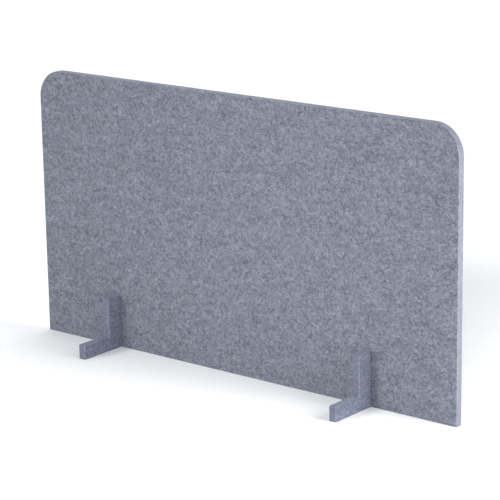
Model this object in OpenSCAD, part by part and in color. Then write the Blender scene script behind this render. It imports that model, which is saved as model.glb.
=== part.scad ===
// Free-standing desk privacy panel: a felt board with rounded top corners that stands
// in two identical feet cut from the same board. Panel and feet cross in half-lap slots:
// each foot is slotted from its top, the panel is slotted from its bottom edge, and the
// two slide together until every bottom edge is flush with the desk.
// Origin: middle of the panel's bottom edge, on the desk. +X runs along the panel,
// +Y through it, +Z up. All sizes in millimetres.

/* [Panel] */
// Length of the panel along the desk
panel_length = 1200; // [1000:10:1800]
// Height of the panel above the desk
panel_height = 650; // [450:10:800]
// Radius of the two top corners
corner_radius = 68; // [20:1:120]

/* [Board] */
// Thickness of the felt board that the panel and the feet are cut from
board_thickness = 18; // [12:1:25]

/* [Feet] */
// Distance between the middles of the two feet
foot_spacing = 736; // [500:2:900]
// Length of a foot's base, from toe to toe
foot_length = 275; // [200:1:350]
// Height of the base, which is also the height of the toes' ends
toe_height = 35; // [25:1:50]
// Width of the upright that holds the panel, across both of its prongs
upright_width = 104; // [80:1:140]
// Height of the upright above the desk
upright_height = 130; // [100:1:180]

/* [Slots] */
// Share of the upright's height that is the web under the panel; the rest is slot
web_share = 0.5; // [0.3:0.05:0.7]
// Gap left on each side of a board that stands in a slot
side_gap = 0.5; // [0.3:0.1:1]
// Gap left between the two slot ends, so that the panel stands on the desk
end_gap = 0.5; // [0.3:0.1:1]

/* [Colours] */
// Colour of the panel
panel_colour = "#82858f"; // color
// Colour of the feet
foot_colour = "#7b7f8a"; // color

/* [Hidden] */

$fn = 96;
half_length = panel_length / 2;
foot_x = foot_spacing / 2;
slot_width = board_thickness + 2 * side_gap;
web_height = upright_height * web_share;
panel_slot_height = web_height + end_gap;
// A cut starts this far outside the board, so that no skin is left over its mouth
overshoot = 1;

// Stands a flat outline, drawn as length by height, up along X with the board's thickness
module board_along_x() {
    rotate([90, 0, 0])
        translate([0, 0, -board_thickness / 2])
            linear_extrude(board_thickness)
                children();
}

// Stands a flat outline up along Y, at a place along the panel
module board_along_y(x) {
    translate([x, 0, 0])
        rotate([0, 0, 90])
            board_along_x()
                children();
}

// A slot with straight sides, from a lower level to an upper one
module slot_outline(x, low, high) {
    translate([x - slot_width / 2, low])
        square([slot_width, high - low]);
}

// The panel's face: square at the desk, rounded at the top
module panel_outline() {
    shoulder = panel_height - corner_radius;
    translate([-half_length, 0])
        square([panel_length, shoulder]);
    translate([-half_length + corner_radius, 0])
        square([panel_length - 2 * corner_radius, panel_height]);
    for (side = [-1, 1])
        translate([side * (half_length - corner_radius), shoulder])
            circle(r = corner_radius);
}

// The foot's side: an upside-down T
module foot_outline() {
    translate([-foot_length / 2, 0])
        square([foot_length, toe_height]);
    translate([-upright_width / 2, 0])
        square([upright_width, upright_height]);
}

module panel() {
    color(panel_colour)
        board_along_x()
            difference() {
                panel_outline();
                for (side = [-1, 1])
                    slot_outline(side * foot_x, -overshoot, panel_slot_height);
            }
}

module foot(x) {
    color(foot_colour)
        board_along_y(x)
            difference() {
                foot_outline();
                slot_outline(0, web_height, upright_height + overshoot);
            }
}

module foot_left() {
    foot(-foot_x);
}

module foot_right() {
    foot(foot_x);
}

panel();
foot_left();
foot_right();
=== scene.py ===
# %% [markdown]
# # A felt desk privacy panel
# The real object is three flat pieces cut from one pressed polyester felt board: a wide panel
# with rounded top corners, and two feet shaped like an upside-down T. Panel and feet cross in
# slots and stand on the desk together, with nothing else to hold them. The shape is simple,
# so the lesson is about the felt: soft edges, pressed layers on every cut, mixed light and
# dark fibres on the faces, and the stray fibres that stand off them.
#
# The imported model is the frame. Every size and place is read from it or worked out from it.

# %% Load the frame
import math

import bmesh
import bpy
from mathutils import Matrix, Vector
from mathutils.geometry import delaunay_2d_cdt


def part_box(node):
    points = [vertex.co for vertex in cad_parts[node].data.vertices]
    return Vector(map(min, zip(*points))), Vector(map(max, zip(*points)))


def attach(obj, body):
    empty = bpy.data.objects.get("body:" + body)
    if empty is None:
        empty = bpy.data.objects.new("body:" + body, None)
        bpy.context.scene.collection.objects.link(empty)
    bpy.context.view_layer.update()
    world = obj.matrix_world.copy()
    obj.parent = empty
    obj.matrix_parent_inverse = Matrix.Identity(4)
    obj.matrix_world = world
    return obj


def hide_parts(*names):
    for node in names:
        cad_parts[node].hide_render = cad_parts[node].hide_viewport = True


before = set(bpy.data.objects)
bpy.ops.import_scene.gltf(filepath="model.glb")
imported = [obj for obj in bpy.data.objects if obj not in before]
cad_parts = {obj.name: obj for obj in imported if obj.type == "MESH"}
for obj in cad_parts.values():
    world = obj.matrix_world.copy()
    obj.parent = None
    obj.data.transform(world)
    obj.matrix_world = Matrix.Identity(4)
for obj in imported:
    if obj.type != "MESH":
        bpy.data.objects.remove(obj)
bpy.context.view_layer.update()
MM = 0.001

# %% [markdown]
# ## Camera, floor and light
# The camera stands well back with a long lens, a little above the panel's top and turned to
# its right-hand end. From close by, the near end of so wide a panel would look much taller
# than the far one. The camera comes first, so that each later step can be judged in the same
# view.

# %% Camera
AZIMUTH = math.radians(39.4)     # from straight on, towards the panel's right-hand end
ELEVATION = math.radians(14.8)
ROLL = math.radians(-0.9)
DISTANCE = 4.71                  # metres
LENS = 151.0                     # millimetres
AIM_OFF_MIDDLE = Vector((35, 0, -26)) * MM


def make_camera(aim):
    """A camera that looks at a point from AZIMUTH and ELEVATION, DISTANCE away."""
    data = bpy.data.cameras.new("camera")
    data.lens = LENS
    camera = bpy.data.objects.new("camera", data)
    bpy.context.scene.collection.objects.link(camera)
    turn = (
        Matrix.Rotation(AZIMUTH, 4, "Z")
        @ Matrix.Rotation(math.pi / 2 - ELEVATION, 4, "X")
        @ Matrix.Rotation(ROLL, 4, "Z")
    )
    back = turn.to_3x3() @ Vector((0, 0, 1))
    camera.matrix_world = Matrix.Translation(aim + back * DISTANCE) @ turn
    bpy.context.scene.camera = camera
    return camera


panel_low, panel_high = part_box("panel")
panel_middle = (panel_low + panel_high) / 2
camera = make_camera(panel_middle + AIM_OFF_MIDDLE)
print("camera at", [round(v, 2) for v in camera.location])

# %% [markdown]
# The floor is one pale plane, far larger than the view, so that no edge of it shows. Evenly
# lit, it turns to plain white, and only the soft shadows of the object mark it.

# %% Floor
FLOOR_HALF = 30.0
FLOOR_WHITE = (0.925, 0.925, 0.92, 1)


def make_floor():
    """A pale plane at the level that the object stands on."""
    mesh = bpy.data.meshes.new("floor")
    corners = [(-1, -1), (1, -1), (1, 1), (-1, 1)]
    mesh.from_pydata([(x * FLOOR_HALF, y * FLOOR_HALF, 0) for x, y in corners], [], [(0, 1, 2, 3)])
    floor = bpy.data.objects.new("floor", mesh)
    bpy.context.scene.collection.objects.link(floor)
    paint = bpy.data.materials.new("floor_white")
    paint.use_nodes = True
    shader = paint.node_tree.nodes["Principled BSDF"]
    shader.inputs["Base Color"].default_value = FLOOR_WHITE
    shader.inputs["Roughness"].default_value = 0.9
    shader.inputs["Specular IOR Level"].default_value = 0.1
    mesh.materials.append(paint)
    return floor


floor = make_floor()
print(floor.name, "is", round(floor.dimensions.x), "m wide")

# %% [markdown]
# In a studio the object is lit from several sides at once, so that the ground turns white.
# Four distant lights and a pale room do that here, evenly near and far. The front light
# stands low on the right, and throws the panel's shadow back over the floor. The left light
# fills the front but misses the right-hand sides of the feet, so those stay darker. The side
# light comes from beyond the right-hand end, which makes that end the brightest part. The
# back light stands high behind: it lights the top edge and the back, and lays a soft shade on
# the floor along the front. Two weak lamps nearby let the felt get a little lighter or darker
# from one end of the panel to the other.

# %% Lights
def direction(azimuth, elevation):
    """Unit vector towards a light: azimuth in degrees from -Y towards +X, elevation up."""
    around, up = math.radians(azimuth), math.radians(elevation)
    return Vector((math.sin(around) * math.cos(up), -math.cos(around) * math.cos(up), math.sin(up)))


def add_light(name, kind, towards, distance, aim, **settings):
    """A light of a kind at a distance in a direction, pointed back at its aim."""
    data = bpy.data.lights.new(name, kind)
    for setting, value in settings.items():
        setattr(data, setting, value)
    light = bpy.data.objects.new(name, data)
    light.location = aim + towards * distance
    light.rotation_euler = towards.to_track_quat("Z", "Y").to_euler()
    bpy.context.scene.collection.objects.link(light)
    return light


WARM = (1.0, 0.99, 0.965)
FAR_OFF = 5.0
# name, direction, strength, how wide it looks from the object
DISTANT_LIGHTS = (
    ("front_light", direction(29, 19), 1.36, math.radians(14)),
    ("left_light", direction(-24, 25), 1.5, math.radians(14)),
    ("side_light", direction(100, 38), 1.2, math.radians(22)),
    ("back_light", direction(190, 60), 0.95, math.radians(50)),
)
for name, towards, strength, spread in DISTANT_LIGHTS:
    add_light(name, "SUN", towards, FAR_OFF, panel_middle, energy=strength, angle=spread, color=WARM)

LAMP_SIZE = 0.6
right_of_middle = panel_middle + Vector((120, 0, 0)) * MM
# name, direction, distance in metres, power in watts
NEAR_LAMPS = (
    ("near_front", direction(4, 10), 0.9, 2.8),
    ("near_side", direction(90, 3), 1.5, 15.0),
)
for name, towards, distance, power in NEAR_LAMPS:
    add_light(name, "AREA", towards, distance, right_of_middle, energy=power, size=LAMP_SIZE)

# %% [markdown]
# The room is the light that comes from everywhere. It is slightly blue, so that shaded parts
# are a little bluer than lit ones. A plain white background takes its place where a ray comes
# straight from the camera, so that the room looks white but lights nothing with that white.
# The Standard view shows colours as they are, so white stays white.

# %% Room
ROOM_BLUE = (0.90, 0.97, 1.10, 1)
ROOM_STRENGTH = 0.355


def make_room():
    """A pale blue room that lights the object, and looks white to the camera."""
    room = bpy.data.worlds.new("pale_room")
    room.use_nodes = True
    tree = room.node_tree
    room_light = tree.nodes["Background"]
    room_light.inputs["Color"].default_value = ROOM_BLUE
    room_light.inputs["Strength"].default_value = ROOM_STRENGTH
    backdrop = tree.nodes.new("ShaderNodeBackground")
    backdrop.inputs["Color"].default_value = (1, 1, 1, 1)
    ray = tree.nodes.new("ShaderNodeLightPath")
    choice = tree.nodes.new("ShaderNodeMixShader")
    tree.links.new(ray.outputs["Is Camera Ray"], choice.inputs["Fac"])
    tree.links.new(room_light.outputs[0], choice.inputs[1])
    tree.links.new(backdrop.outputs[0], choice.inputs[2])
    tree.links.new(choice.outputs[0], tree.nodes["World Output"].inputs["Surface"])
    return room


bpy.context.scene.world = make_room()
bpy.context.scene.view_settings.view_transform = "Standard"
print("room:", bpy.context.scene.world.name)

# %% [markdown]
# ## The outlines
# Every board is a flat outline with a thickness. The panel's outline is a rectangle with two
# round corners and two slots open at the bottom; a foot's is an upside-down T with a slot
# open at the top. Each is written as the few corners that make it, each with its own radius,
# and one function turns corners into a line of evenly spaced points. Felt can't hold a
# razor-sharp corner, so even a square corner gets a small radius.

# %% Sizes from the frame
NEAR = 0.1 * MM                 # two places this close count as the same
SOFT_CORNER = 2.5 * MM


def packed_corners(node):
    """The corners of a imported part, in metres."""
    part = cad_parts[node]
    return [part.matrix_world @ corner.co for corner in part.data.vertices]


foot_low, foot_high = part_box("foot_left")
thickness = panel_high.y - panel_low.y
foot_x = -(foot_low.x + foot_high.x) / 2

foot_points = packed_corners("foot_left")
on_foot_top = [p for p in foot_points if p.z > foot_high.z - NEAR]
toe_height = max(p.z for p in foot_points if p.y > foot_high.y - NEAR)
upright_half = max(p.y for p in on_foot_top)
slot_half = min(abs(p.y) for p in on_foot_top)
web_height = max(p.z for p in foot_points if abs(p.y) < slot_half + NEAR and p.z < foot_high.z - NEAR)

panel_points = packed_corners("panel")
slot_top = max(p.z for p in panel_points if abs(abs(p.x) - foot_x) < slot_half + NEAR)
top_radius = panel_high.z - max(p.z for p in panel_points if p.x > panel_high.x - NEAR)
panel_sizes = (thickness, slot_top, top_radius)
foot_sizes = (toe_height, web_height, upright_half, slot_half)
print("panel thickness, slot top and corner radius:", [round(v / MM, 1) for v in panel_sizes])
print("foot toe, web, half upright and half slot:", [round(v / MM, 1) for v in foot_sizes])

# %% [markdown]
# The corners are listed for the right half only, because every board is its own mirror image.
# A corner with no radius is the inner end of a slot or the root of a toe.

# %% Outline points
POINT_GAP = 7 * MM
ARC_STEP = math.radians(6)      # round corners
SOFT_STEPS = 4                  # square corners, for their small radius


def rounded_outline(corners):
    """A closed line of points, anticlockwise, from right-angled corners (across, up, radius)."""
    points = []
    for i, (x, y, radius) in enumerate(corners):
        here = Vector((x, y))
        before = (Vector(corners[i - 1][:2]) - here).normalized()
        after = (Vector(corners[(i + 1) % len(corners)][:2]) - here).normalized()
        if radius == 0:
            points.append(here)
            continue
        centre = here + (before + after) * radius
        steps = round(math.pi / 2 / ARC_STEP) if radius > SOFT_CORNER else SOFT_STEPS
        for k in range(steps + 1):
            angle = k / steps * math.pi / 2
            points.append(centre - after * radius * math.cos(angle) - before * radius * math.sin(angle))
    line = []
    for i, point in enumerate(points):
        following = points[(i + 1) % len(points)]
        pieces = max(1, math.ceil((following - point).length / POINT_GAP))
        line += [point.lerp(following, k / pieces) for k in range(pieces)]
    return line


def mirrored(right_half):
    """The whole outline from the corners of its right half, listed from the bottom up."""
    left_half = [(-x, y, radius) for x, y, radius in reversed(right_half)]
    return right_half + left_half


panel_corners = mirrored([
    (foot_x - slot_half, 0, SOFT_CORNER),
    (foot_x - slot_half, slot_top, 0),
    (foot_x + slot_half, slot_top, 0),
    (foot_x + slot_half, 0, SOFT_CORNER),
    (panel_high.x, 0, SOFT_CORNER),
    (panel_high.x, panel_high.z, top_radius),
])
foot_corners = mirrored([
    (foot_high.y, 0, SOFT_CORNER),
    (foot_high.y, toe_height, SOFT_CORNER),
    (upright_half, toe_height, 0),
    (upright_half, foot_high.z, SOFT_CORNER),
    (slot_half, foot_high.z, SOFT_CORNER),
    (slot_half, web_height, 0),
])
panel_outline = rounded_outline(panel_corners)
foot_outline = rounded_outline(foot_corners)
print("outline points:", len(panel_outline), "panel,", len(foot_outline), "foot")

# %% [markdown]
# ## The boards
# A board could be an extruded outline with a Bevel modifier, but its two faces would be
# single huge polygons, which can't carry any relief. Here each face is filled with an even
# net of small triangles instead, the cut edge gets rows of quads, and a soft quarter-round
# arris joins them. Each point also keeps a value called cut, from 0 on the faces to 1 on the
# cut edge. The relief, the stray fibres and the materials all read it.
#
# First comes the way round the rim: how far each row of points lies in from the outline, how
# far through the board it is, and how much it belongs to the cut.

# %% Rim rows
ARRIS = 1.6 * MM
ARRIS_STEPS = 3
EDGE_ROWS = 4
SHARPEST_MITRE = 0.5            # keeps a mitred corner from shooting far away


def inset(line, distance):
    """The closed line moved inwards by a distance, with mitred corners."""
    moved = []
    for i, point in enumerate(line):
        along_in = (point - line[i - 1]).normalized()
        along_out = (line[(i + 1) % len(line)] - point).normalized()
        inward_in = Vector((-along_in.y, along_in.x))
        inward_out = Vector((-along_out.y, along_out.x))
        middle = (inward_in + inward_out).normalized()
        moved.append(point + middle * distance / max(SHARPEST_MITRE, middle.dot(inward_in)))
    return moved


def rim_profile():
    """Rows from the front face round the cut edge to the back: (inset, through, cut share)."""
    half = thickness / 2
    rows = []
    for k in range(ARRIS_STEPS + 1):
        angle = k / ARRIS_STEPS * math.pi / 2
        rows.append((ARRIS * (1 - math.sin(angle)), half - ARRIS * (1 - math.cos(angle)), k / ARRIS_STEPS))
    flat = half - ARRIS
    rows += [(0, flat * (1 - 2 * k / EDGE_ROWS), 1) for k in range(1, EDGE_ROWS)]
    rows += [(moved, -through, cut) for moved, through, cut in reversed(rows[:ARRIS_STEPS + 1])]
    return rows


print("rim rows, inwards and through:", [(round(i / MM, 1), round(t / MM, 1)) for i, t, _ in rim_profile()])

# %% [markdown]
# The net of a face is made of rows of points, every second row shifted by half a step, kept
# where they are inside the outline and not too near it. A constrained Delaunay triangulation
# joins them to each other and to the outline, and adds no points of its own.

# %% Face net
FACE_NET = 7 * MM
ROW_STEP = math.sqrt(3) / 2     # the height of an even-sided triangle
LEAST_GAP = 0.55                # between a net point and the outline, as a share of the net
KEEP_INSIDE = 1                 # the triangulation keeps what lies inside the outline
SAME_POINT = 1e-7


def inside(point, line):
    """Whether a point lies inside the closed line."""
    crossings = 0
    for i, a in enumerate(line):
        b = line[(i + 1) % len(line)]
        if (a.y > point.y) != (b.y > point.y):
            if point.x < a.x + (point.y - a.y) / (b.y - a.y) * (b.x - a.x):
                crossings += 1
    return crossings % 2 == 1


def face_net(line):
    """Points and triangles that fill the closed line with an even net."""
    low_x, high_x = min(p.x for p in line), max(p.x for p in line)
    low_y, high_y = min(p.y for p in line), max(p.y for p in line)
    near_line = {}
    for p in line:
        near_line.setdefault((round(p.x / FACE_NET), round(p.y / FACE_NET)), []).append(p)
    points = list(line)
    rows = math.ceil((high_y - low_y) / (FACE_NET * ROW_STEP))
    for row in range(1, rows):
        y = low_y + row * (high_y - low_y) / rows
        shift = 0.5 * (row % 2)
        for column in range(math.ceil((high_x - low_x) / FACE_NET)):
            p = Vector((low_x + (column + shift) * FACE_NET, y))
            cell = (round(p.x / FACE_NET), round(p.y / FACE_NET))
            close = [
                q
                for dx in (-1, 0, 1)
                for dy in (-1, 0, 1)
                for q in near_line.get((cell[0] + dx, cell[1] + dy), [])
            ]
            if all((p - q).length > LEAST_GAP * FACE_NET for q in close) and inside(p, line):
                points.append(p)
    count = len(line)
    border = [(i, (i + 1) % count) for i in range(count)]
    found = delaunay_2d_cdt(points, border, [list(range(count))], KEEP_INSIDE, SAME_POINT)
    return found[0], [list(face) for face in found[2]]


print("a foot's face has", len(face_net(inset(foot_outline, ARRIS))[1]), "triangles")

# %% [markdown]
# A board is then the rim rows joined by quads, with a net on the front and the same net on
# the back. The two nets share the rim's own first and last rows, so the board is closed.

# %% Board mesh
def board_mesh(name, line, stand):
    """A felt board from its outline; stand turns (across, up, through) into a place."""
    profile = rim_profile()
    inner = inset(line, ARRIS)
    net_points, net_faces = face_net(inner)
    count = len(line)
    places, cut, faces = [], [], []
    for moved, through, share in profile:
        for p in inset(line, moved):
            places.append((p.x, p.y, through))
            cut.append(share)
    for row in range(len(profile) - 1):
        first, second = row * count, (row + 1) * count
        for i in range(count):
            j = (i + 1) % count
            faces.append((first + i, second + i, second + j, first + j))
    back_row = (len(profile) - 1) * count
    for row_start, through, flip in ((0, thickness / 2, False), (back_row, -thickness / 2, True)):
        extra = len(places)
        places += [(p.x, p.y, through) for p in net_points[count:]]
        cut += [0] * (len(net_points) - count)
        for face in net_faces:
            ring = [row_start + i if i < count else extra + i - count for i in face]
            faces.append(tuple(reversed(ring)) if flip else tuple(ring))
    mesh = bpy.data.meshes.new(name)
    mesh.from_pydata([stand(*place) for place in places], [], faces)
    mesh.attributes.new("cut", "FLOAT", "POINT").data.foreach_set("value", cut)
    mesh.validate()
    work = bmesh.new()
    work.from_mesh(mesh)
    bmesh.ops.recalc_face_normals(work, faces=work.faces)
    volume = work.calc_volume()
    work.to_mesh(mesh)
    work.free()
    mesh.shade_smooth()
    board = bpy.data.objects.new(name, mesh)
    bpy.context.scene.collection.objects.link(board)
    print(name, len(mesh.polygons), "faces,", round(volume / (10 * MM) ** 3), "cubic centimetres")
    return board


print("the panel's rim has", len(rim_profile()) * len(panel_outline), "points")

# %% [markdown]
# The three boards are drawn flat, as (across, up, through), and stood up in their places:
# the panel along X, and the feet along Y at the places where the panel crosses them.

# %% Three boards
def stand_panel(across, up, through):
    """The panel stands along X, its front towards -Y."""
    return (across, -through, up)


def stand_foot_at(x):
    """A foot stands along Y at a place along the panel."""
    return lambda across, up, through: (x + through, across, up)


boards = {
    "panel": board_mesh("panel_board", panel_outline, stand_panel),
    "foot_left": board_mesh("foot_left_board", foot_outline, stand_foot_at(-foot_x)),
    "foot_right": board_mesh("foot_right_board", foot_outline, stand_foot_at(foot_x)),
}

# %% [markdown]
# ## Node trees
# Two kinds of node tree come next: shader groups for the finish, then Geometry Nodes for the
# relief and the stray fibres. The same few helpers write both.

# %% Node helpers
def add_node(tree, kind, settings=None, **sockets):
    """A new node. A value fills a socket, and a socket from another node is linked to it.

    A socket goes by its name, with _ for a space, or by its number, as _0.
    """
    node = tree.nodes.new(kind)
    for name, value in (settings or {}).items():
        setattr(node, name, value)
    for name, value in sockets.items():
        socket = node.inputs[int(name[1:])] if name[0] == "_" else node.inputs[name.replace("_", " ")]
        if isinstance(value, bpy.types.NodeSocket):
            tree.links.new(value, socket)
        else:
            socket.default_value = value
    return node


def calculate(tree, operation, *values, clamp=False):
    """One Math node; returns its output."""
    sockets = {f"_{i}": value for i, value in enumerate(values)}
    settings = {"operation": operation, "use_clamp": clamp}
    return add_node(tree, "ShaderNodeMath", settings, **sockets).outputs[0]


def combine(tree, operation, *values):
    """One Vector Math node; returns its vector output."""
    sockets = {f"_{i}": value for i, value in enumerate(values)}
    return add_node(tree, "ShaderNodeVectorMath", {"operation": operation}, **sockets).outputs[0]


def blend_values(tree, share, low, high):
    """A value that goes from low to high as share goes from 0 to 1."""
    return add_node(tree, "ShaderNodeMix", {"data_type": "FLOAT"}, _0=share, _2=low, _3=high).outputs[0]


def blend_colours(tree, share, low, high):
    """A colour that goes from low to high as share goes from 0 to 1."""
    return add_node(tree, "ShaderNodeMix", {"data_type": "RGBA"}, _0=share, _6=low, _7=high).outputs[2]


NOISE_MIDDLE = 0.5              # smooth noise swings about this


def noise(tree, vector, size_mm, detail=0.0, roughness=0.5, output="Fac"):
    """Smooth noise with blobs of about a size in millimetres, given as a number or a socket."""
    scale = calculate(tree, "DIVIDE", 1 / MM, size_mm)
    made = add_node(
        tree, "ShaderNodeTexNoise", Vector=vector, Scale=scale, Detail=detail, Roughness=roughness
    )
    return made.outputs[output]


def new_group(name, inputs, outputs, kind="ShaderNodeTree"):
    """An empty node tree with named inputs and outputs; returns it and its two ends."""
    tree = bpy.data.node_groups.new(name, kind)
    for label, holds, value in inputs:
        socket = tree.interface.new_socket(label, in_out="INPUT", socket_type="NodeSocket" + holds)
        if value is not None:
            socket.default_value = value
    for label, holds in outputs:
        tree.interface.new_socket(label, in_out="OUTPUT", socket_type="NodeSocket" + holds)
    return tree, tree.nodes.new("NodeGroupInput").outputs, tree.nodes.new("NodeGroupOutput").inputs


def use_group(tree, group, **sockets):
    """Places a group in a material; returns its outputs."""
    return add_node(tree, "ShaderNodeGroup", {"node_tree": group}, **sockets).outputs


def sockets_of(tree):
    """The names of a tree's inputs and outputs, to print."""
    return [f"{item.in_out.lower()} {item.name}" for item in tree.interface.items_tree]


print("in the trees a millimetre is", MM, "and noise swings about", NOISE_MIDDLE)

# %% [markdown]
# ## The felt
# Needled polyester felt is a mat of fibres of several greys, so its colour is never flat:
# curled light fibres lie on darker ones, and the mix drifts slowly across the board. A
# picture of felt could be wrapped on the boards, but a pattern worked out in the shader has
# no seams, stays sharp close up and comes out the same on every piece of board.
#
# Three shader groups hold the parts of the finish that both felts share. Their places are in
# metres and their sizes in millimetres, and each gives back a mask from 0 to 1. The first also
# gives back a height, for the bump.
#
# A curled fibre is drawn as a contour line. Smooth noise is taken at a place that other noise
# has pushed about, and the thin band where it passes through its middle value winds across
# the board like a loose fibre. Light lines lie over dark ones, in two sizes: strands about a
# centimetre across, which show from the far side of a room, and fibres of a few millimetres,
# which show close up. A soft grain, slow clumps and a fine dust fill the gaps between them.
# The mat is laid along the board, so everything is stretched a little that way.

# %% Group: mixed fibres
CLUMP, DRIFT, GRAIN, DUST = 16.0, 24.0, 5.4, 0.7    # sizes in millimetres
RUN_ALONG = (0.94, 0.94, 1.18)      # multiplies places, so a pattern is longer along than up
LAID_FLAT = (0.6, 0.6, 1.3)         # the same for the clumps and the drift, longer still
STRAND_PUSH = 6 * MM                # how far strands are pushed about
STRAND_BENDS = 1.3                  # the size of their bends, as a share of their own size
FIBRE_PUSH = 1.4 * MM
FIBRE_BENDS = 1.6
DARK_STRAND_SIZE = 1.15             # as a share of the light ones' size
DARK_FIBRE_SIZE = 0.8
LIGHT_STRAND_LINE, DARK_STRAND_LINE = 0.08, 0.10    # how far from the middle a line fades out
LIGHT_FIBRE_LINE, DARK_FIBRE_LINE = 0.05, 0.06
GATHER = (0.35, 0.65, 0.55, 1.0)    # clumps from and to, light strands from and to
CLUMPS_AWAY = (7.7, 2.3, 4.1)       # metres off, where the noise has another pattern
DARK_STRANDS_AWAY = (3.1, 5.7, 1.9)
DARK_FIBRES_AWAY = (9.1, 4.3, 6.7)
MIDDLE_MIX = 0.42                   # the felt as a whole, from 0, dark fibre, to 1, light
MIDDLE_LIE = 0.5
# layer: its middle value and its share
FAR_WEIGHTS = {
    "light strands": (0.20, 0.36),
    "dark strands": (0.25, -0.20),
    "grain": (NOISE_MIDDLE, 1.08),
    "drift": (NOISE_MIDDLE, 0.34),
}
NEAR_WEIGHTS = {"light fibres": (0.2, 0.34), "dark fibres": (0.2, -0.22), "dust": (NOISE_MIDDLE, 0.5)}
LIE_WEIGHTS = {**NEAR_WEIGHTS, "grain": (NOISE_MIDDLE, 0.6), "light strands": (0.2, 0.3)}


def contour(tree, vector, size_mm, width):
    """Winding lines: 1 on the middle value of smooth noise, falling to 0 beside it."""
    height = noise(tree, vector, size_mm, detail=1.0)
    off_middle = calculate(tree, "ABSOLUTE", calculate(tree, "SUBTRACT", height, NOISE_MIDDLE))
    return calculate(tree, "SUBTRACT", 1.0, calculate(tree, "DIVIDE", off_middle, width), clamp=True)


def pushed(tree, vector, size_mm, reach):
    """Places pushed about by smooth noise, by up to a reach in metres."""
    push = combine(tree, "SUBTRACT", noise(tree, vector, size_mm, output="Color"), (NOISE_MIDDLE,) * 3)
    return combine(tree, "ADD", vector, combine(tree, "MULTIPLY", push, (2 * reach,) * 3))


def moved_off(tree, vector, steps):
    """The same places metres away, where the noise has another pattern."""
    return combine(tree, "ADD", vector, steps)


def weighted_sum(tree, start, layers, weights):
    """A start value plus the swing of each named layer about its middle, times its share."""
    total = start
    for name, (middle, share) in weights.items():
        swing = calculate(tree, "MULTIPLY", calculate(tree, "SUBTRACT", layers[name], middle), share)
        total = calculate(tree, "ADD", total, swing)
    return total


def ramp(tree, value, low, high, first, last):
    """A value that goes from first to last as another goes from low to high, and stays there."""
    return add_node(tree, "ShaderNodeMapRange", _0=value, _1=low, _2=high, _3=first, _4=last).outputs[0]


def mixed_fibres_group():
    """Curled fibres over strands and clumps.

    Mix is 0 on dark fibre and 1 on light. Lie is how high the surface lies. Only the layers
    that show from afar follow Contrast.
    """
    tree, given, result = new_group(
        "mixed_fibres",
        [
            ("Vector", "Vector", None),
            ("Strand", "Float", 11.0),
            ("Fibre", "Float", 3.0),
            ("Contrast", "Float", 1.0),
        ],
        [("Mix", "Float"), ("Lie", "Float")],
    )
    strand, fibre = given["Strand"], given["Fibre"]
    place = combine(tree, "MULTIPLY", given["Vector"], RUN_ALONG)
    laid = combine(tree, "MULTIPLY", given["Vector"], LAID_FLAT)
    bent = pushed(tree, place, calculate(tree, "MULTIPLY", strand, STRAND_BENDS), STRAND_PUSH)
    curled = pushed(tree, place, calculate(tree, "MULTIPLY", fibre, FIBRE_BENDS), FIBRE_PUSH)
    larger = calculate(tree, "MULTIPLY", strand, DARK_STRAND_SIZE)
    smaller = calculate(tree, "MULTIPLY", fibre, DARK_FIBRE_SIZE)

    clumps = noise(tree, moved_off(tree, laid, CLUMPS_AWAY), CLUMP)
    light_lines = contour(tree, bent, strand, LIGHT_STRAND_LINE)
    layers = {
        "light strands": calculate(tree, "MULTIPLY", light_lines, ramp(tree, clumps, *GATHER)),
        "dark strands": contour(tree, moved_off(tree, bent, DARK_STRANDS_AWAY), larger, DARK_STRAND_LINE),
        "grain": noise(tree, place, GRAIN, detail=2.0),
        "drift": noise(tree, laid, DRIFT, detail=1.0),
        "light fibres": contour(tree, curled, fibre, LIGHT_FIBRE_LINE),
        "dark fibres": contour(tree, moved_off(tree, curled, DARK_FIBRES_AWAY), smaller, DARK_FIBRE_LINE),
        "dust": noise(tree, place, DUST, detail=2.0, roughness=0.6),
    }
    afar = weighted_sum(tree, 0.0, layers, FAR_WEIGHTS)
    in_contrast = calculate(tree, "MULTIPLY_ADD", afar, given["Contrast"], MIDDLE_MIX)
    mix = weighted_sum(tree, in_contrast, layers, NEAR_WEIGHTS)
    tree.links.new(calculate(tree, "ADD", mix, 0.0, clamp=True), result["Mix"])
    tree.links.new(weighted_sum(tree, MIDDLE_LIE, layers, LIE_WEIGHTS), result["Lie"])
    return tree


mixed_fibres = mixed_fibres_group()
print(mixed_fibres.name, sockets_of(mixed_fibres))

# %% [markdown]
# On a cut the mat is seen from the side. It was laid and pressed in thin layers, so the cut
# shows fine lines that run along the board's edge, parallel to its faces. Modelled layers
# would be far too many thin faces, so the lines are fine noise, stretched far along the
# board, in two sizes.

# %% Group: pressed layers
FINE_LAYERS = (1.0, 0.16, 0.16)     # multiplies places, which stretches the lines
BROAD_LAYERS = (1.0, 0.05, 0.05)
BROAD_SIZE = 3.4                    # as a share of the fine layers' size
LAYER_PUSH = 0.7 * MM               # how far a layer wanders off straight
LAYER_BENDS = 7.0                   # the size of its bends in millimetres
MIDDLE_LAYER = 0.45
LAYER_WEIGHTS = {"fine": (NOISE_MIDDLE, 0.9), "broad": (NOISE_MIDDLE, 0.7)}


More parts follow.
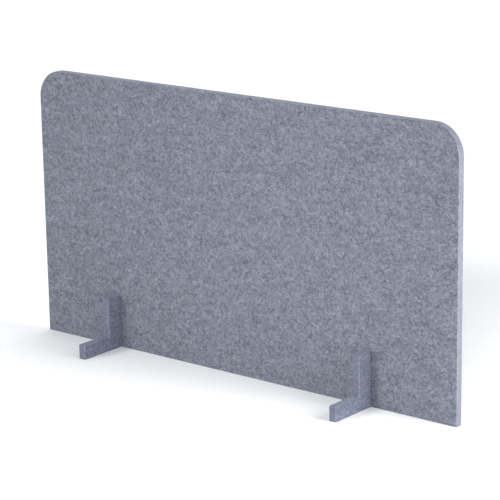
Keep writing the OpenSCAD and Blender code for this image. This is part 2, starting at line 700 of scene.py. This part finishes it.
def pressed_layers_group():
    """Fine lines along a cut edge. Vector has its first axis through the board."""
    tree, given, result = new_group(
        "pressed_layers",
        [("Vector", "Vector", None), ("Layer", "Float", 1.1)],
        [("Mix", "Float")],
    )
    wandering = pushed(tree, given["Vector"], LAYER_BENDS, LAYER_PUSH)
    fine_place = combine(tree, "MULTIPLY", wandering, FINE_LAYERS)
    broad_place = combine(tree, "MULTIPLY", wandering, BROAD_LAYERS)
    broad_size = calculate(tree, "MULTIPLY", given["Layer"], BROAD_SIZE)
    layers = {
        "fine": noise(tree, fine_place, given["Layer"], detail=3.0, roughness=0.65),
        "broad": noise(tree, broad_place, broad_size, detail=1.0),
    }
    total = weighted_sum(tree, MIDDLE_LAYER, layers, LAYER_WEIGHTS)
    tree.links.new(calculate(tree, "ADD", total, 0.0, clamp=True), result["Mix"])
    return tree


pressed_layers = pressed_layers_group()
print(pressed_layers.name, sockets_of(pressed_layers))

# %% [markdown]
# Along every corner where a face meets a cut, the round arris catches more light, so a
# painted highlight is added to the colour there as a pale line. The stored cut value runs
# from 0 to 1 over the arris, so the line is brightest where that value is one half.

# %% Group: painted arris highlight
MIDDLE_OF_ARRIS = 0.25              # cut times the rest of it, where cut is one half
HIGHLIGHT_GRAIN = 6.0                    # size in millimetres
BREAKS = (0.36, 0.62, 0.15, 1.0)    # grain from and to, the line's strength from and to


def painted_arris_highlight_group():
    """A painted highlight along the corners between faces and cuts, broken up by grain."""
    tree, given, result = new_group(
        "frayed_arris",
        [("Cut", "Float", 0.0), ("Vector", "Vector", None)],
        [("Mask", "Float")],
    )
    line = calculate(tree, "MULTIPLY", given["Cut"], calculate(tree, "SUBTRACT", 1.0, given["Cut"]))
    full_line = calculate(tree, "DIVIDE", line, MIDDLE_OF_ARRIS)
    breaks = ramp(tree, noise(tree, given["Vector"], HIGHLIGHT_GRAIN, detail=2.0), *BREAKS)
    tree.links.new(calculate(tree, "MULTIPLY", full_line, breaks), result["Mask"])
    return tree


frayed_arris = painted_arris_highlight_group()
print(frayed_arris.name, sockets_of(frayed_arris))

# %% [markdown]
# Each felt is one material, because the faces and the cuts are the same stuff. Its colour
# runs from dark fibre to light fibre by the mixed fibres on the faces. On the cuts the
# pressed layers are blended in, and a painted highlight is added along the corners. The cuts
# round the panel get painted light, which makes its top edge and right-hand end brighter,
# the cuts of the feet get a little painted shade, and the felt of the feet is a touch bluer
# than the panel's, as another roll of felt would be.
#
# The same masks raise and lower the surface a little, so what looks like a fibre also catches
# the light like one. Felt has no polish: it is rough, with a soft sheen from the fibre ends,
# and only its light fibres are a touch smoother.

# %% Material: felt
PANEL_FIBRES = ((0.058, 0.061, 0.081, 1), (0.234, 0.241, 0.287, 1))     # dark and light
FOOT_FIBRES = ((0.055, 0.060, 0.086, 1), (0.222, 0.237, 0.304, 1))
# painted light on the panel's cuts, to brighten its top edge and end; painted shade on the feet's cuts
PANEL_CUT_PAINTED_LIGHT = 0.18
FOOT_CUT_PAINTED_SHADE = -0.05
CONTRAST = 0.82
STRAND, FIBRE, LAYER = 11.0, 3.0, 1.1           # sizes in millimetres
SHEEN_TINT = (0.68, 0.80, 1.0, 1)
# how strong the painted highlight along the corners is
HIGHLIGHT_SHARE = 0.5
FIBRES_ON_CUT = 0.55            # how much of the mixed fibres shows between the layers
DARK_ROUGHNESS = 0.98
LIGHT_ROUGHNESS = 0.86


def felt_material(name, through_first, fibre_colours, cut_lift):
    """Felt for a board whose thickness through_first turns to the first axis.

    fibre_colours are its dark and light fibres. cut_lift is painted light on its
    cuts, or painted shade there if it is negative.
    """
    felt = bpy.data.materials.new(name)
    felt.use_nodes = True
    tree = felt.node_tree
    shader = tree.nodes["Principled BSDF"]
    place = add_node(tree, "ShaderNodeTexCoord").outputs["Object"]
    cut = add_node(tree, "ShaderNodeAttribute", {"attribute_name": "cut"}).outputs["Fac"]
    turned = add_node(tree, "ShaderNodeMapping", Vector=place, Rotation=through_first).outputs[0]
    fibres = use_group(tree, mixed_fibres, Vector=place, Strand=STRAND, Fibre=FIBRE, Contrast=CONTRAST)
    layers = use_group(tree, pressed_layers, Vector=turned, Layer=LAYER)
    painted_highlight = use_group(tree, frayed_arris, Cut=cut, Vector=place)
    both = blend_values(tree, FIBRES_ON_CUT, layers["Mix"], fibres["Mix"])
    # painted light on the panel's cuts, or painted shade on the feet's cuts
    mix = blend_values(tree, cut, fibres["Mix"], calculate(tree, "ADD", both, cut_lift))
    # a painted highlight along the corners
    mix = calculate(tree, "ADD", mix, calculate(tree, "MULTIPLY", painted_highlight["Mask"], HIGHLIGHT_SHARE), clamp=True)
    tree.links.new(blend_colours(tree, mix, *fibre_colours), shader.inputs["Base Color"])
    height = blend_values(tree, cut, fibres["Lie"], calculate(tree, "ADD", layers["Mix"], fibres["Lie"]))
    bump = add_node(tree, "ShaderNodeBump", Height=height, Strength=0.6, Distance=0.4 * MM)
    tree.links.new(bump.outputs["Normal"], shader.inputs["Normal"])
    tree.links.new(blend_values(tree, mix, DARK_ROUGHNESS, LIGHT_ROUGHNESS), shader.inputs["Roughness"])
    shader.inputs["Specular IOR Level"].default_value = 0.15
    shader.inputs["Sheen Weight"].default_value = 0.25
    shader.inputs["Sheen Roughness"].default_value = 0.5
    shader.inputs["Sheen Tint"].default_value = SHEEN_TINT
    return felt


felts = {
    "panel": felt_material("pressed_panel_felt", (0, 0, math.pi / 2), PANEL_FIBRES, PANEL_CUT_PAINTED_LIGHT),
    "foot_left": felt_material("pressed_foot_felt", (0, 0, 0), FOOT_FIBRES, FOOT_CUT_PAINTED_SHADE),
}
felts["foot_right"] = felts["foot_left"]
print("felts:", [felt.name for felt in felts.values()])

# %% [markdown]
# ## The relief
# A pressed mat is never quite flat. It is a little thicker where more fibre was laid, and a
# cut through it wanders by a hair. A modelled lump here and there would look placed, so a
# Geometry Nodes tree moves every point along its normal by smooth noise. The undersides stay
# flat, because the whole object stands on them, and the depth stays well under the gaps in
# the slots.

# %% Geometry Nodes: felt relief
RELIEF_DEPTH_MM = 0.12
LUMP_MM = 18.0
NOISE_REACH = 0.25              # smooth noise seldom goes farther from its middle
UNDERSIDE = -0.5                # a surface that faces down more than this stays flat


def felt_relief_tree():
    """Moves each point along its normal by smooth noise, except on the undersides."""
    tree, given, result = new_group(
        "felt_relief",
        [
            ("Board", "Geometry", None),
            ("Depth", "Float", RELIEF_DEPTH_MM),
            ("Lump", "Float", LUMP_MM),
            ("Felt", "Material", None),
        ],
        [("Board", "Geometry")],
        kind="GeometryNodeTree",
    )
    place = add_node(tree, "GeometryNodeInputPosition").outputs[0]
    normal = add_node(tree, "GeometryNodeInputNormal").outputs[0]
    facing = add_node(tree, "ShaderNodeSeparateXYZ", _0=normal).outputs["Z"]
    not_under = calculate(tree, "GREATER_THAN", facing, UNDERSIDE)
    swing = calculate(tree, "SUBTRACT", noise(tree, place, given["Lump"], detail=1.0), NOISE_MIDDLE)
    depth = calculate(tree, "MULTIPLY", calculate(tree, "MULTIPLY", swing, given["Depth"]), MM / NOISE_REACH)
    shift = add_node(tree, "ShaderNodeVectorMath", {"operation": "SCALE"}, _0=normal, Scale=depth).outputs[0]
    moved = add_node(
        tree, "GeometryNodeSetPosition", Geometry=given["Board"], Selection=not_under, Offset=shift
    ).outputs[0]
    whole = add_node(tree, "GeometryNodeRealizeInstances", Geometry=moved).outputs[0]
    painted = add_node(tree, "GeometryNodeSetMaterial", Geometry=whole, Material=given["Felt"]).outputs[0]
    tree.links.new(painted, result["Board"])
    return tree


def mesh_from_nodes(source, tree, **values):
    """The plain mesh that a Geometry Nodes tree makes from an object; values fill its inputs."""
    worker = bpy.data.objects.new("worker", source.data)
    bpy.context.scene.collection.objects.link(worker)
    modifier = worker.modifiers.new(tree.name, "NODES")
    modifier.node_group = tree
    for item in tree.interface.items_tree:
        label = item.name.replace(" ", "_")
        if item.in_out == "INPUT" and label in values:
            modifier[item.identifier] = values[label]
    graph = bpy.context.evaluated_depsgraph_get()
    mesh = bpy.data.meshes.new_from_object(worker.evaluated_get(graph), depsgraph=graph)
    bpy.data.objects.remove(worker)
    for index in reversed(range(len(mesh.materials))):
        if mesh.materials[index] is None:
            mesh.materials.pop(index=index)
    return mesh


felt_relief = felt_relief_tree()
print(felt_relief.name, sockets_of(felt_relief))
for node, board in boards.items():
    flat = board.data
    board.data = mesh_from_nodes(board, felt_relief, Depth=RELIEF_DEPTH_MM, Lump=LUMP_MM, Felt=felts[node])
    board.data.name = node + "_board"
    shifts = [(new.co - old.co).length for new, old in zip(board.data.vertices, flat.vertices)]
    print(board.name, "moves by up to", round(max(shifts) / MM, 2), "mm")

# %% [markdown]
# ## Stray fibres
# Close up, loose fibre ends stand off the felt, a few on the faces and many more along the
# cuts, where the blade broke them. A hair system could grow them, but it makes thousands of
# strands with no thickness. Here one short bent fibre is modelled, with a real thickness and
# few faces, and a Geometry Nodes tree scatters it over a board, each copy with its own spin,
# lean, size and shade. None grow close to the floor, or close to where the boards cross.

# %% Where fibres grow
FIBRE_LENGTH = 4 * MM
CLEARANCE = 1.5                         # as a share of the length: more than the longest copy


def away_from_crossings(tree, given):
    """1 outside the square columns where the boards cross, 0 inside them."""
    place = add_node(tree, "GeometryNodeInputPosition").outputs[0]
    x, y, z = add_node(tree, "ShaderNodeSeparateXYZ", _0=place).outputs
    along_panel = calculate(tree, "SUBTRACT", calculate(tree, "ABSOLUTE", x), given["Crossing"])
    beside = calculate(tree, "ABSOLUTE", along_panel)
    far_x = calculate(tree, "GREATER_THAN", beside, given["Column Half"])
    far_y = calculate(tree, "GREATER_THAN", calculate(tree, "ABSOLUTE", y), given["Column Half"])
    above = calculate(tree, "GREATER_THAN", z, given["Column Top"])
    return calculate(tree, "MAXIMUM", calculate(tree, "MAXIMUM", far_x, far_y), above)


def growing_places(tree, given):
    """1 where fibres may grow: clear of the floor and of the crossings."""
    place = add_node(tree, "GeometryNodeInputPosition").outputs[0]
    height = add_node(tree, "ShaderNodeSeparateXYZ", _0=place).outputs["Z"]
    clear_of_floor = calculate(tree, "GREATER_THAN", height, given["Lowest"])
    return calculate(tree, "MULTIPLY", clear_of_floor, away_from_crossings(tree, given))


fibre_reach = CLEARANCE * FIBRE_LENGTH
print("fibres start", round(fibre_reach / MM, 1), "mm clear of the floor and the crossings")

# %% [markdown]
# One fibre is a bend of four short steps with three flat sides. That is enough for something
# a tenth of a millimetre thick, and the thousands of copies stay light.

# %% One bent fibre
FIBRE_RADIUS = 0.05 * MM
FIBRE_STEPS = 4
FIBRE_SIDES = 3
CURVE = ((0.0, -0.05), (0.4, 0.5), (0.9, 0.12))     # its start, bend and end, as shares of its length


def bent_fibre(tree, given):
    """A thin tube along a bend, rooted just below the surface."""
    points = []
    for across, up in CURVE:
        x = calculate(tree, "MULTIPLY", given["Length"], across)
        z = calculate(tree, "MULTIPLY", given["Length"], up)
        points.append(add_node(tree, "ShaderNodeCombineXYZ", X=x, Z=z).outputs[0])
    start, middle, end = points
    path = add_node(
        tree, "GeometryNodeCurveQuadraticBezier", Resolution=FIBRE_STEPS, Start=start, Middle=middle, End=end
    )
    ring = add_node(
        tree,
        "GeometryNodeCurvePrimitiveCircle",
        {"mode": "RADIUS"},
        Resolution=FIBRE_SIDES,
        Radius=given["Radius"],
    )
    return add_node(
        tree, "GeometryNodeCurveToMesh", Curve=path.outputs[0], Profile_Curve=ring.outputs[0], Fill_Caps=True
    ).outputs[0]


print("one fibre has", FIBRE_STEPS * FIBRE_SIDES, "quads and two caps")

# %% [markdown]
# The tree scatters points over a board, closer together the more a place belongs to a cut. At
# each point it puts a copy of the fibre that leans and spins in its own way, and stores a
# random shade for the material to read. Every random value has a fixed seed. The copies are
# realised at the end, because an export drops instances.

# %% Geometry Nodes: stray fibres
FACE_DENSITY = 1800.0                   # fibres on a square metre
CUT_DENSITY = 50000.0
LEAST_TURN = (-0.5, -0.4, 0)            # how a copy leans, and spins about its root, in radians
MOST_TURN = (0.5, 0.3, math.tau)
SHORTEST, LONGEST = 0.5, 1.3            # as shares of the length
TURN_SEED, SIZE_SEED, SHADE_SEED = 1, 2, 3


def random_value(tree, low, high, seed, kind="FLOAT"):
    """A random value or vector for each copy."""
    node = add_node(tree, "FunctionNodeRandomValue", {"data_type": kind})
    low_socket, high_socket = (0, 1) if kind == "FLOAT_VECTOR" else (2, 3)
    node.inputs[low_socket].default_value = low
    node.inputs[high_socket].default_value = high
    node.inputs["Seed"].default_value = seed
    return node.outputs[0 if kind == "FLOAT_VECTOR" else 1]


def stray_fibres_tree():
    """Scatters one bent fibre over a board, densest where the board is cut."""
    tree, given, result = new_group(
        "stray_fibres",
        [
            ("Board", "Geometry", None),
            ("Face Density", "Float", FACE_DENSITY),
            ("Cut Density", "Float", CUT_DENSITY),
            ("Length", "Float", FIBRE_LENGTH),
            ("Radius", "Float", FIBRE_RADIUS),
            ("Crossing", "Float", 0.0),
            ("Column Half", "Float", 0.0),
            ("Column Top", "Float", 0.0),
            ("Lowest", "Float", 0.0),
            ("Seed", "Int", 0),
            ("Fibre", "Material", None),
        ],
        [("Fibres", "Geometry")],
        kind="GeometryNodeTree",
    )
    cut = add_node(tree, "GeometryNodeInputNamedAttribute", {"data_type": "FLOAT"}, Name="cut").outputs[0]
    density = blend_values(tree, cut, given["Face Density"], given["Cut Density"])
    points = add_node(
        tree,
        "GeometryNodeDistributePointsOnFaces",
        Mesh=given["Board"],
        Density=calculate(tree, "MULTIPLY", density, growing_places(tree, given)),
        Seed=given["Seed"],
    )
    spin = random_value(tree, LEAST_TURN, MOST_TURN, TURN_SEED, "FLOAT_VECTOR")
    turn = add_node(tree, "FunctionNodeEulerToRotation", Euler=spin).outputs[0]
    lean = add_node(
        tree,
        "FunctionNodeRotateRotation",
        {"rotation_space": "LOCAL"},
        Rotation=points.outputs["Rotation"],
        Rotate_By=turn,
    ).outputs[0]
    copies = add_node(
        tree,
        "GeometryNodeInstanceOnPoints",
        Points=points.outputs["Points"],
        Instance=bent_fibre(tree, given),
        Rotation=lean,
        Scale=random_value(tree, SHORTEST, LONGEST, SIZE_SEED),
    ).outputs[0]
    shaded = add_node(
        tree,
        "GeometryNodeStoreNamedAttribute",
        {"data_type": "FLOAT", "domain": "INSTANCE"},
        Geometry=copies,
        Name="shade",
        Value=random_value(tree, 0.0, 1.0, SHADE_SEED),
    ).outputs[0]
    whole = add_node(tree, "GeometryNodeRealizeInstances", Geometry=shaded).outputs[0]
    painted = add_node(tree, "GeometryNodeSetMaterial", Geometry=whole, Material=given["Fibre"]).outputs[0]
    tree.links.new(painted, result["Fibres"])
    return tree


stray_fibres = stray_fibres_tree()
print(stray_fibres.name, sockets_of(stray_fibres))

# %% [markdown]
# A loose fibre is clear polyester with a little colour in it, so it is shinier than the mat.
# Light gets round it on every side, so it is never darker than the light fibres in the mat.
# Its stored shade picks a colour between those and a paler one.

# %% Material: loose fibre
PALE_FIBRE = (0.42, 0.44, 0.50, 1)


def loose_fibre_material():
    """Fibres from light to pale, by the shade that each copy was given."""
    paint = bpy.data.materials.new("loose_fibre")
    paint.use_nodes = True
    tree = paint.node_tree
    shader = tree.nodes["Principled BSDF"]
    shade = add_node(tree, "ShaderNodeAttribute", {"attribute_name": "shade"}).outputs["Fac"]
    tree.links.new(blend_colours(tree, shade, PANEL_FIBRES[1], PALE_FIBRE), shader.inputs["Base Color"])
    shader.inputs["Roughness"].default_value = 0.55
    shader.inputs["Specular IOR Level"].default_value = 0.3
    return paint


loose_fibre = loose_fibre_material()
print(loose_fibre.name, "from", PANEL_FIBRES[1][:3], "to", PALE_FIBRE[:3])

# %% [markdown]
# The fibres of a board are a mesh of their own with a finish of their own, which leaves the
# board a plain closed solid. Each board has its own seed, or the two feet would carry the
# same fibres.

# %% Fibres on each board
fibres = {}
for seed, (node, board) in enumerate(boards.items(), start=1):
    mesh = mesh_from_nodes(
        board,
        stray_fibres,
        Length=FIBRE_LENGTH,
        Radius=FIBRE_RADIUS,
        Crossing=foot_x,
        Column_Half=thickness / 2 + fibre_reach,
        Column_Top=foot_high.z + fibre_reach,
        Lowest=fibre_reach,
        Seed=seed,
        Fibre=loose_fibre,
    )
    mesh.name = node + "_fibres"
    fibres[node] = bpy.data.objects.new(node + "_fibres", mesh)
    bpy.context.scene.collection.objects.link(fibres[node])
    print(mesh.name, len(mesh.polygons), "faces,", [m.name for m in mesh.materials])

# %% [markdown]
# ## The bodies
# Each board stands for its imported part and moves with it, and its fibres move with the same
# part.

# %% Bodies
for node, board in boards.items():
    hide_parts(node)
    for piece in (board, fibres[node]):
        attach(piece, node)
    print(node, "carries", board.name, "and", fibres[node].name)
